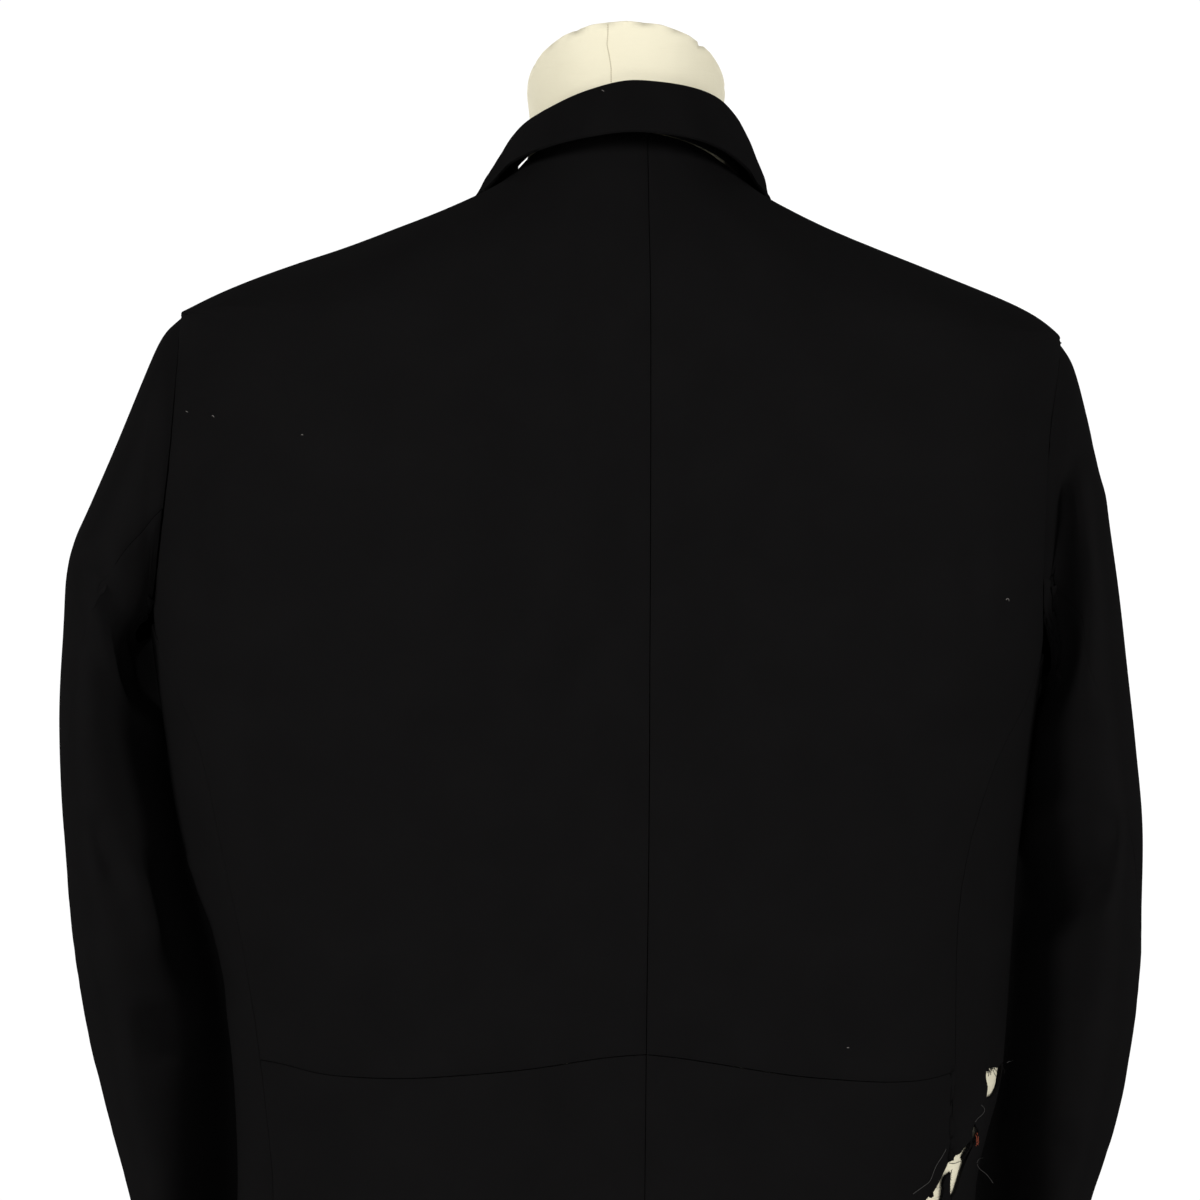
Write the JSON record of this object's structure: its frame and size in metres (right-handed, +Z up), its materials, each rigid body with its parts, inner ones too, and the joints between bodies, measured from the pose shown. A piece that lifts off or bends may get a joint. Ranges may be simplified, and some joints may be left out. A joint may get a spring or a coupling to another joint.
{
  "type": "blazer on dress form",
  "caption": "Black single-breasted notched-lapel blazer, torn at the right hip, worn by a limbless linen dress form on a low round stand.",
  "frame": {"origin": "middle of the stand's underside, below the dress form's own axis", "axes": "+Z up; the wearer faces -Y, so the centre back seam is at +Y; +X is the wearer's left"},
  "size_m": [0.5921, 0.29, 0.8878],
  "materials": {
    "wool": "plain black fine wool with a faint twill",
    "linen": "cream linen, stretched smooth",
    "horn": "turned black button, satin",
    "steel": "dark powder coat"
  },
  "bodies": {
    "root": {"back_left": "wool", "back_right": "wool", "skirt_left": "wool", "skirt_right": "wool", "side_left": "wool", "side_right": "wool", "front_left": "wool", "front_right": "wool", "lapel_left": "wool", "lapel_right": "wool", "collar": "wool", "sleeve_top_left": "wool", "sleeve_top_right": "wool", "sleeve_under_left": "wool", "sleeve_under_right": "wool", "button_1": "horn", "button_2": "horn", "form": "linen", "stand_column": "steel", "stand_base": "steel"}
  },
  "joints": []
}
